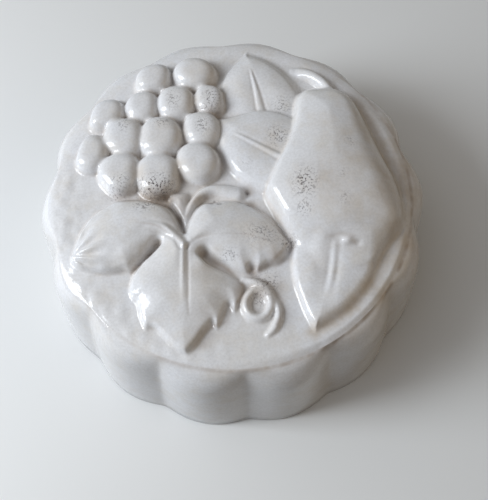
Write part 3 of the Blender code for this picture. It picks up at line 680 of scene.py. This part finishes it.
# Painted shade: brown lines along sinuses, grooves and the banks of leaves and stalks that face away from the
# light: half width, strength, then points
PAINTED_SHADE_LINES = (
    (0.9, 0.8, (-31.9, -25.9), (-37.7, -32.7), (-43.4, -38.1)),
    (0.9, 0.9, (-12.4, -30.8), (-7.7, -33.4), (-1.3, -37.8), (2.9, -43.2), (4.1, -47.1), (1.9, -51.9)),
    (1, 0.75, (-1.4, -54.9), (-3.5, -60), (-9.3, -62.5), (-12.5, -65.8)),
    (1.1, 0.9, (23.8, -27.1), (19.8, -31.2), (15.8, -34.8), (8, -38.6), (6, -36.5)),
    (0.9, 0.7, (5.5, -4.8), (12, -12.2), (19.3, -19.5), (24.2, -27.1)),
    (1, 0.8, (-20, -13), (-18.2, -8), (-15.4, -4.6), (-11, -3.2)),
    (0.9, 0.75, (-49.8, -6.1), (-41, -6.3), (-33.4, -8.3), (-26.6, -13.3), (-21.7, -20.5)),
    (0.5, 0.5, (-41.2, -17.6), (-33.4, -18.7), (-26.8, -22.5), (-21.2, -26.8)),
    (0.45, 0.3, (-19.4, -28.2), (-16.1, -25), (-9.7, -23.3), (-3.3, -22.9), (5.3, -23), (14.6, -25.9)),
    (0.45, 0.4, (-19.2, -29.8), (-18.8, -41), (-18.6, -52), (-18.4, -58)),
    (0.9, 0.6, (5.9, -40.8), (10.5, -42), (15.5, -44), (20, -50.3), (20.7, -56.4), (18, -61.9)),
    (0.8, 0.35, (39.9, -25.7), (45.9, -24.4), (51.8, -25.4)),
)
# Painted shade, warm, along the right banks of the lower leaf and the pear: half width, strength, then points
WARM_SHADE_LINES = (
    (3.5, 0.9, (34, -64.3), (46.5, -56.8), (57.8, -45.1), (63, -34.8), (68.1, -26.2), (72.3, -17.7)),
    (4, 0.7, (73.2, -13.9), (73, -1.7), (71.1, 10.8), (65.9, 29.1), (58, 46)),
)
# Dark spots: centre x, y, half sizes, strength
SPOTS = (
    (-9.4, -7.9, 1.1, 0.5, 1), (-5.9, -8.2, 1, 0.5, 0.9), (6.6, -1, 0.9, 1, 0.7), (6.8, -8, 0.9, 0.6, 0.7),
    (-34.3, -8.3, 0.6, 0.5, 0.8), (7.6, -39, 1.2, 0.8, 0.6), (-31.5, -3.4, 4.5, 2, 0.55),
    (-27, -7, 1.8, 3.2, 0.5), (-23, -15, 1, 4, 0.4),
)


def strokes(px, py, rows):
    """Strength of a set of drawn lines at each point."""
    total = np.zeros(px.shape)
    for half_width, strength, *points in rows:
        near = around(points, px, py, 3 * half_width)
        away = nearest(through(points, 4), px[near], py[near])[0]
        total[near] = np.maximum(total[near], strength * np.exp(-(away / half_width) ** 2))
    return total


def marks(px, py, rows, join=np.maximum):
    """Strength of a set of marks at each point."""
    total = np.zeros(px.shape)
    for x, y, half_width, half_length, strength in rows:
        away = ((px - x) / half_width) ** 2 + ((py - y) / half_length) ** 2
        total = join(total, strength * np.exp(-away))
    return total


def crease_painted_shade(reach, angle):
    """Painted shade: a brown line along the crease of the crown's front right edge."""
    return 1.2 * sharpness(angle) * np.exp(-((reach - CREASE_OUT) / 0.8) ** 2)


def to_mesh(name, bm):
    mesh = bpy.data.meshes.new(name)
    bm.to_mesh(mesh)
    bm.free()
    return mesh


def build_crown():
    """The lattice of the crown: a mesh with every cell's form on it."""
    bm, verts, faces, u, v = square_lattice(CELLS)
    px, py = on_disc(u, v, CROWN_RADIUS)
    forms = relief_forms(px.ravel(), py.ravel()).reshape((-1,) + px.shape)
    labels = cell_mean(forms).argmax(axis=0)
    labels[np.hypot(cell_mean(px), cell_mean(py)) > GROUND_FROM] = 0
    labels = tidy_labels(labels)
    forms[PEAR] = soften(forms[PEAR], PEAR_SOFT_PASSES)
    height = glazed_height(forms, px, py)
    height -= marks(px, py, DENTS, np.add)
    height = soften(height + 0.05 * ripple(px, py, 11, 9) * (np.hypot(px, py) < 77), SOFT_PASSES)
    pool = np.clip((soften(height, POOL_PASSES) - height) / POOL_DEPTH, 0, 1)
    u, v = relax_borders(labels, u, v)
    px, py = on_disc(u, v, CROWN_RADIUS)
    places = np.stack([px, py, CROWN_Z + read_grid(height, u, v)], axis=-1) * MM
    # painted shade along crevices, grooves and banks, with some real stains near the stalks
    shade_and_stain = np.maximum(marks(px, py, SHADE_AND_STAIN_MARKS), strokes(px, py, PAINTED_SHADE_LINES))
    finish = {
        "pool": read_grid(pool, u, v),
        "speckle": marks(px, py, SPECKLES),
        "spot": marks(px, py, SPOTS),
        # painted shade along the crease at the front right
        "shade_and_stain": np.maximum(shade_and_stain, crease_painted_shade(np.hypot(px, py), np.arctan2(py, px))),
        # painted shade, warm, on the sides away from the light
        "warm_painted_shade": np.maximum(marks(px, py, WARM_SHADE_MARKS), strokes(px, py, WARM_SHADE_LINES)),
    }
    form_layer = bm.faces.layers.int.new("form")
    skin_layer = bm.faces.layers.int.new("skin")
    lattice = bm.verts.layers.int.new("lattice")
    layers = [(bm.verts.layers.float.new(name), values) for name, values in finish.items()]
    for (i, j), number in np.ndenumerate(verts):
        vert = bm.verts[number]
        vert.co = places[i, j]
        vert[lattice] = int(number) if 0 < i < CELLS and 0 < j < CELLS else -1
        for layer, values in layers:
            vert[layer] = values[i, j]
    for cell, number in np.ndenumerate(faces):
        bm.faces[number][form_layer] = int(labels[cell])
        bm.faces[number][skin_layer] = 1
    return to_mesh("crown_lattice", bm), height


def skin_faces(bm):
    layer = bm.faces.layers.int["skin"]
    return {face for face in bm.faces if face[layer]}


def top_skin(crown, *names):
    """The crown's cells that belong to the named forms: a bmesh and its faces."""
    bm = bmesh.new()
    bm.from_mesh(crown)
    layer = bm.faces.layers.int["form"]
    others = [face for face in bm.faces if NAMES[face[layer]] not in names]
    bmesh.ops.delete(bm, geom=others, context="FACES")
    return bm, skin_faces(bm)


def rim_edges(bm):
    return [edge for edge in bm.edges if edge.is_boundary]


def part_rings(edges, reach):
    """Edges beyond a reach from the middle, then the others."""
    outer = [edge for edge in edges if min(vert.co.xy.length for vert in edge.verts) > reach * MM]
    kept = set(outer)
    return outer, [edge for edge in edges if edge not in kept]


def grow(bm, edges):
    """Extrude border edges; gives back the new vertices and the new border."""
    grown = bmesh.ops.extrude_edge_only(bm, edges=edges)["geom"]
    verts = [item for item in grown if isinstance(item, bmesh.types.BMVert)]
    return verts, [item for item in grown if isinstance(item, bmesh.types.BMEdge) and item.is_boundary]


def let_down(bm, edges, height):
    """Extrude edges straight down to a height; gives back the new edges."""
    verts, edges = grow(bm, edges)
    for vert in verts:
        vert.co.z = height * MM
    return edges


def add_object(name, data):
    item = bpy.data.objects.new(name, data)
    bpy.context.collection.objects.link(item)
    return item


def finish_piece(name, bm, skin, crown, glaze):
    """Make the object; its skin keeps the crown's own normals across the borders."""
    bmesh.ops.recalc_face_normals(bm, faces=bm.faces)
    skin_layer = bm.faces.layers.int["skin"]
    for face in bm.faces:
        face.smooth = True
        face[skin_layer] = 1 if face in skin else 0
    for edge in bm.edges:
        on_border = len({face in skin for face in edge.link_faces}) == 2
        edge.smooth = not (on_border and edge.calc_face_angle(0) > radians(25))
    mesh = to_mesh(name, bm)
    keep_normals(mesh, crown)
    mesh.materials.append(glaze)
    piece = add_object(name + "_glazed", mesh)
    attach(piece, "root")
    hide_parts(name)


def read_all(items, name, kind, width=1):
    """One property of every item, as rows of numbers."""
    kept = np.empty(len(items) * width, kind)
    items.foreach_get(name, kept)
    return kept.reshape(-1, width)


def keep_normals(mesh, crown):
    """Give the skin the normals of the whole crown."""
    own = read_all(mesh.corner_normals, "vector", np.float32, 3)
    shared = read_all(crown.vertex_normals, "vector", np.float32, 3)
    verts = read_all(mesh.loops, "vertex_index", np.int32)[:, 0]
    numbers = read_all(mesh.attributes["lattice"].data, "value", np.int32)[verts, 0]
    skin = read_all(mesh.attributes["skin"].data, "value", np.int32)
    corners = read_all(mesh.polygons, "loop_total", np.int32)[:, 0]
    use = (np.repeat(skin[:, 0], corners) > 0) & (numbers >= 0)
    own[use] = shared[numbers[use]]
    mesh.normals_split_custom_set(own.tolist())
    for name in ("lattice", "skin"):
        mesh.attributes.remove(mesh.attributes[name])


def relief_piece(crown, name):
    """Lift one form off the crown and close it underneath."""
    bm, skin = top_skin(crown, name)
    edges = let_down(bm, rim_edges(bm), CROWN_Z + PIECE_FOOT)
    bmesh.ops.triangle_fill(bm, edges=edges, use_beauty=True)
    return bm, skin


def thicken(bm, skin):
    """Grow a second skin under the first, joined to it round the border."""
    grown = bmesh.ops.extrude_face_region(bm, geom=list(skin))["geom"]
    return [item for item in grown if isinstance(item, bmesh.types.BMVert)]


def pear_piece(crown):
    """The pear's skin, with a flat seat that turns up into its hollow."""
    bm, skin = top_skin(crown, "pear", "pear_calyx")
    verts = thicken(bm, skin)
    places = np.array([vert.co for vert in verts]) / MM
    for vert, rise in zip(verts, pear_form(places[:, 0], places[:, 1], -PEAR_WALL)):
        vert.co.z = (CROWN_Z + max(rise, PIECE_FOOT)) * MM
    return bm, skin


def calyx_piece(crown):
    """The blossom end: a thin ring that lies on the pear."""
    bm, skin = top_skin(crown, "pear_calyx")
    for vert in bm.verts:
        vert.co.z += CALYX_LIFT * MM
    for vert in thicken(bm, skin):
        vert.co.z -= CALYX_DEPTH * MM
    return bm, skin


# Wall, rim and inside of the mould

def flute(angle):
    """How far a flute stands out at an angle, from 0 in a cusp to 1 on its crest."""
    wave = np.sin(0.5 * FLUTES * (angle - FLUTE_PHASE + 0.5 * pi))
    soft = CUSP_SOFTNESS
    return (np.sqrt(wave * wave + soft * soft) - soft) / (sqrt(1 + soft * soft) - soft)


def shares(count):
    return [(ring + 1) / count for ring in range(count)]


def wall_row(share, inset):
    """A ring of the wall, at a share of the way down from its shoulder."""
    radius = CROWN_RADIUS - inset + SHOULDER_SPREAD + (FOOT_SPREAD - SHOULDER_SPREAD) * share
    return (radius + WALL_BELLY * sin(pi * share), WALL_TOP - (WALL_TOP - RIM_ROUND) * share,
            SHOULDER_LOBE + (FOOT_LOBE - SHOULDER_LOBE) * share, 0)


def rim_row(share, inset, side):
    """A ring of the rounded rim, at a share of its turn from upright to flat."""
    turn = 0.5 * pi * share
    return (CROWN_RADIUS + FOOT_SPREAD - inset - side * RIM_ROUND * (1 - cos(turn)),
            RIM_ROUND * (1 - sin(turn)), FOOT_LOBE, 0)


def outer_profile():
    """Cusp radius, height, lobe and share of the crease's drop, from the crease to the foot."""
    rows = []
    slope = SHOULDER_DROP / (WALL_TOP - RIM_ROUND)
    flare = (FOOT_SPREAD - SHOULDER_SPREAD + WALL_BELLY * pi) * slope
    thinning = (FOOT_LOBE - SHOULDER_LOBE) * slope
    first = sin(SHOULDER_START)
    for share in shares(SHOULDER_RINGS):
        turn = SHOULDER_START + (0.5 * pi - SHOULDER_START) * share ** 1.1
        out = (sin(turn) - first) / (1 - first)
        held = cos(turn) / cos(SHOULDER_START)
        rows.append((CROWN_RADIUS + (SHOULDER_SPREAD - flare) * out + flare * (1 - held),
                     CROWN_Z - SHOULDER_DROP * (1 - held),
                     (SHOULDER_LOBE - thinning) * out + thinning * (1 - held), held))
    rows += [wall_row(share ** 1.4, 0) for share in shares(WALL_RINGS)]
    return rows + [rim_row(share, 0, 1) for share in shares(RIM_RINGS)]


def inner_profile():
    """The same up the inside, from the rim to the flat of the ceiling."""
    rows = [rim_row(1 - share, WALL, -1) for share in [0] + shares(RIM_RINGS - 1)]
    rows += [wall_row(1 - share, WALL) for share in shares(INNER_WALL_RINGS)]
    for share in shares(CORNER_RINGS):
        turn = 0.5 * pi * share
        rows.append((CROWN_RADIUS + SHOULDER_SPREAD - WALL - INNER_CORNER * (1 - cos(turn)),
                     WALL_TOP + (SHOULDER_DROP - CROWN_THICKNESS) * sin(turn),
                     SHOULDER_LOBE * cos(turn), 0))
    return rows


def wall_point(angle, radius, height, lobe, held):
    """A point of the wall, a little out of true as a hand-finished mould is."""
    wobble = 0.12 * sin(3 * angle + 0.8 + height * 0.02) + 0.08 * sin(11 * angle + height * 0.06)
    reach = radius + lobe * flute(angle) + (wobble - 0.22) * (1 - held)
    height -= held * edge_drop(CROWN_RADIUS, angle)
    return reach * cos(angle) * MM, reach * sin(angle) * MM, height * MM


def extrude_rings(bm, edges, profile):
    """Carry a round border along a profile, ring by ring, each point at its own angle."""
    for row in profile:
        verts, edges = grow(bm, edges)
        for vert in verts:
            vert.co = wall_point(turn_of(vert), *row)


def off_disc(px, py, radius):
    """The square's points that are drawn out to points of a disc."""
    u, v = px / radius, py / radius
    root = 2 * sqrt(2)
    wide, tall = 2 + u * u - v * v, 2 - u * u + v * v
    across = np.sqrt(np.maximum(wide + root * u, 0)) - np.sqrt(np.maximum(wide - root * u, 0))
    along = np.sqrt(np.maximum(tall + root * v, 0)) - np.sqrt(np.maximum(tall - root * v, 0))
    return 0.5 * across, 0.5 * along


def ceiling_height(crown_height, px, py):
    """Face of the crown inside the mould: soft hollows beneath the relief."""
    u, v = off_disc(px, py, CROWN_RADIUS)
    soft = read_grid(soften(crown_height, DIMPLE_PASSES), u, v)
    return np.clip(0.5 * (soft - 0.6), 0, 3) * ease((68 - np.hypot(px, py)) / 7)


def build_inside(height):
    """Inner face of the mould, down to the rim, open where the pear's hollow is."""
    bm, verts, faces, u, v = square_lattice(UNDER_CELLS)
    profile = inner_profile()
    radius = profile[-1][0]
    x, y = on_disc(u, v, radius)
    open_above = cell_mean(pear_form(x, y, -PEAR_WALL - 0.2)) > 0
    open_above &= cell_mean(np.hypot(x, y)) < radius - HOLLOW_MARGIN
    x, y = relax_borders(open_above.astype(int), x, y)
    places = np.stack([x, y, CROWN_Z - CROWN_THICKNESS + ceiling_height(height, x, y)], axis=-1) * MM
    for cell, number in np.ndenumerate(verts):
        bm.verts[number].co = places[cell]
    gone = [bm.faces[number] for number in faces[open_above]]
    bmesh.ops.delete(bm, geom=gone, context="FACES")
    outer, hole = part_rings(rim_edges(bm), radius - 0.5)
    let_down(bm, hole, SEAT_Z)
    extrude_rings(bm, outer, profile[-2::-1])
    return to_mesh("inside", bm)


def body_piece(crown, height):
    """The shell: the ground of the crown, the fluted wall, the rim and the inside."""
    bm, _ = top_skin(crown, "mould_body")
    inside = build_inside(height)
    bm.from_mesh(inside)
    bpy.data.meshes.remove(inside)
    skin = skin_faces(bm)
    borders = [edge for edge in rim_edges(bm) if edge.link_faces[0] in skin]
    outer, recess = part_rings(borders, CROWN_RADIUS - 0.2)
    let_down(bm, recess, SEAT_Z)
    extrude_rings(bm, outer, outer_profile())
    join_rim(bm)
    seat = [edge for edge in rim_edges(bm)
            if all(abs(vert.co.z - SEAT_Z * MM) < 0.01 * MM for vert in edge.verts)]
    bmesh.ops.triangle_fill(bm, edges=seat, use_beauty=True)
    shade_wall(bm)
    return bm, skin


def join_rim(bm):
    """Carry the outer wall in along the flat of the rim and weld it to the inner one."""
    outer, inner = [], []
    for edge in (edge for edge in rim_edges(bm) if all(vert.co.z < 0.01 * MM for vert in edge.verts)):
        vert = edge.verts[0]
        halfway = CROWN_RADIUS + FOOT_SPREAD - 0.5 * WALL + FOOT_LOBE * flute(turn_of(vert))
        (outer if vert.co.xy.length > halfway * MM else inner).append(edge)
    goals = sorted({vert for edge in inner for vert in edge.verts}, key=turn_of)
    turns = [turn_of(vert) for vert in goals]
    joining, _ = grow(bm, outer)
    for vert in joining:
        place = bisect.bisect(turns, turn_of(vert) + 0.0005)
        vert.co = goals[(place - 1) % len(goals)].co
    bmesh.ops.remove_doubles(bm, verts=joining + goals, dist=0.001 * MM)


def turn_of(vert):
    return atan2(vert.co.y, vert.co.x)


def shade_wall(bm):
    """Glaze pooled in the cusps, and painted shade along the crease, strongest at the front right."""
    pool, shade_and_stain = (bm.verts.layers.float[name] for name in ("pool", "shade_and_stain"))
    for vert in bm.verts:
        x, y, z = vert.co / MM
        reach, angle = hypot(x, y), atan2(y, x)
        if reach > CROWN_RADIUS - 0.1:
            # painted shade along the crease, strongest at the front right
            line = exp(-abs(reach - CROWN_RADIUS) / 1.5) * sharpness(angle)
            vert[pool] = min(1, 0.35 * (1 - flute(angle)) ** 3 + 0.5 * line)
            vert[shade_and_stain] = crease_painted_shade(reach, angle) if z > CROWN_Z - 4 else 0


# Materials

def feed(socket, value):
    """Link a value into a socket, or set it there."""
    if isinstance(value, bpy.types.NodeSocket):
        socket.id_data.links.new(value, socket)
    else:
        socket.default_value = value


def node(near, kind, **sockets):
    """A shader node in the tree that a socket, or the tree itself, stands for."""
    item = near.id_data.nodes.new("ShaderNode" + kind)
    for name, value in sockets.items():
        feed(item.inputs[name], value)
    return item


def ramp(source, *stops):
    item = node(source, "ValToRGB", Fac=source)
    for element, (place, value) in zip(item.color_ramp.elements, stops):
        element.position = place
        element.color = (value, value, value, 1)
    return item.outputs["Color"]


def maths(operation, a, b):
    item = node(a, "Math")
    item.operation = operation
    feed(item.inputs[0], a)
    feed(item.inputs[1], b)
    return item.outputs[0]


def times(a, b):
    return maths("MULTIPLY", a, b)


def tint(factor, base, colour, blend="MIX"):
    """Lay a colour over a base by a factor."""
    item = node(factor, "Mix")
    item.data_type = "RGBA"
    item.blend_type = blend
    for name, value in (("Factor", factor), ("A", base), ("B", colour)):
        feed(item.inputs[name], value + (1,) if isinstance(value, tuple) else value)
    return item.outputs["Result"]


def noise(place, scale, detail=3, roughness=0.5):
    item = node(place, "TexNoise", Vector=place, Scale=scale, Detail=detail, Roughness=roughness)
    return item.outputs["Fac"]


def attribute(tree, name):
    item = node(tree, "Attribute")
    item.attribute_name = name
    return item.outputs["Fac"]


def crazing(place):
    """Fine cracks of the glaze, 1 on a crack."""
    bend = node(place, "TexNoise", Vector=place, Scale=240)
    shift = node(place, "VectorMath")
    shift.operation = "MULTIPLY_ADD"
    for socket, value in zip(shift.inputs, (bend.outputs["Color"], (0.0022, 0.0022, 0.0022), place)):
        feed(socket, value)
    cells = node(place, "TexVoronoi", Vector=shift.outputs["Vector"], Scale=640)
    cells.feature = "DISTANCE_TO_EDGE"
    return ramp(cells.outputs["Distance"], (0.07, 1), (0.17, 0))


def new_material(name):
    material = bpy.data.materials.new(name)
    material.use_nodes = True
    tree = material.node_tree
    return material, tree, tree.nodes["Principled BSDF"]


def white_glaze():
    """Glossy off-white glaze, browner where it pools, with old specks, stains and dark spots, and painted
    shade: warm on the sides away from the light, brown along crevices, banks and the crease.
    """
    material, tree, shader = new_material("white_glaze")
    place = node(tree, "TexCoord").outputs["Object"]
    cloud = noise(place, 26)
    mottle = noise(place, 95, 5, 0.6)
    grain = noise(place, 160, 4)
    fine = noise(place, 950, 2, 0.6)
    colour = tint(ramp(cloud, (0.35, 0), (0.7, 1)), (0.797, 0.797, 0.818), (0.772, 0.758, 0.752))
    colour = tint(ramp(mottle, (0.46, 0), (0.72, 0.7)), colour, (0.72, 0.675, 0.62))
    for layer, cover, strength, paint in (
        # painted shade, warm, on the sides away from the light
        ("warm_painted_shade", ramp(mottle, (0.3, 0.35), (0.65, 1)), 1, (0.56, 0.47, 0.375)),
        ("pool", ramp(grain, (0.3, 0.35), (0.7, 1)), 0.6, (0.40, 0.30, 0.20)),
        # painted shade along crevices, grooves, banks and the crease, with some real stains
        ("shade_and_stain", ramp(grain, (0.32, 0.2), (0.6, 1)), 0.65, (0.27, 0.18, 0.11)),
    ):
        amount = times(attribute(tree, layer), cover)
        colour = tint(times(amount, strength), colour, paint)
    colour = tint(ramp(fine, (0.35, 0), (0.75, 0.28)), colour, (0.45, 0.43, 0.41))
    broken = ramp(noise(place, 900, 2, 0.7), (0.47, 0), (0.60, 1))
    speckle = times(attribute(tree, "speckle"), times(crazing(place), broken))
    spot = times(attribute(tree, "spot"), ramp(fine, (0.38, 0.45), (0.6, 1)))
    colour = tint(maths("MAXIMUM", speckle, spot), colour, (0.07, 0.05, 0.05))
    feed(shader.inputs["Base Color"], colour)
    feed(shader.inputs["Roughness"], ramp(cloud, (0.3, 0.10), (0.8, 0.17)))
    shader.inputs["IOR"].default_value = 1.5
    bump = node(tree, "Bump", Strength=0.25, Distance=0.0004, Height=noise(place, 230, 4, 0.6))
    feed(shader.inputs["Normal"], bump.outputs["Normal"])
    return material


def floor_material():
    material, tree, shader = new_material("pale_floor")
    light = node(tree, "LightPath").outputs
    direct = maths("MAXIMUM", light["Is Camera Ray"], light["Is Glossy Ray"])
    direct = maths("MAXIMUM", direct, light["Is Transmission Ray"])
    feed(shader.inputs["Base Color"], tint(direct, (0.13, 0.13, 0.13), (0.80, 0.80, 0.79)))
    shader.inputs["Roughness"].default_value = 0.6
    return material


# Studio

def add_floor():
    bm = bmesh.new()
    bmesh.ops.create_circle(bm, cap_ends=True, segments=96, radius=2.4)
    mesh = to_mesh("floor", bm)
    mesh.materials.append(floor_material())
    floor = add_object("floor", mesh)


def add_window():
    data = bpy.data.lights.new("window", "AREA")
    data.shape = "RECTANGLE"
    data.size, data.size_y = WINDOW_SIZE
    data.energy = WINDOW_POWER
    data.color = WINDOW_COLOUR
    add_object("window", data).matrix_world = aimed(WINDOW_PLACE, (0, 0, 0.05))


def add_world():
    """A dim room with soft patches of light, warm on the right and cool on the left."""
    world = bpy.data.worlds.new("studio")
    bpy.context.scene.world = world
    world.use_nodes = True
    tree = world.node_tree
    direction = node(tree, "TexCoord").outputs["Generated"]
    total = SKY_BASE
    for turn, rise, focus, colour in SKY_PATCHES:
        turn, rise = radians(turn), radians(rise)
        facing = node(tree, "VectorMath")
        facing.operation = "DOT_PRODUCT"
        feed(facing.inputs[0], direction)
        facing.inputs[1].default_value = cos(turn) * cos(rise), sin(turn) * cos(rise), sin(rise)
        share = maths("POWER", maths("MAXIMUM", facing.outputs["Value"], 0), focus)
        total = tint(share, total, colour, "ADD")
    feed(tree.nodes["Background"].inputs["Color"], total)
    tree.nodes["Background"].inputs["Strength"].default_value = 1


def aimed(place, aim):
    """Where a lamp or camera stands, turned to look at a point."""
    turn = (Vector(aim) - Vector(place)).to_track_quat("-Z", "Y").to_matrix().to_4x4()
    return Matrix.Translation(place) @ turn


def add_camera():
    data = bpy.data.cameras.new("camera")
    data.lens = LENS
    data.sensor_width = 36
    data.clip_start = 0.01
    camera = add_object("camera", data)
    camera.matrix_world = aimed(Vector(EYE) * MM, Vector(AIM) * MM) @ Matrix.Rotation(ROLL, 4, "Z")
    bpy.context.scene.camera = camera


def main():
    glaze = white_glaze()
    crown, height = build_crown()
    built = {
        "mould_body": body_piece(crown, height),
        "pear": pear_piece(crown),
        "pear_calyx": calyx_piece(crown),
    }
    built.update((name, relief_piece(crown, name)) for name in NAMES if name not in built)
    for name, (bm, skin) in built.items():
        finish_piece(name, bm, skin, crown, glaze)
    bpy.data.meshes.remove(crown)
    add_floor()
    add_world()
    add_window()
    add_camera()
    bpy.context.scene.view_settings.view_transform = "Standard"


main()
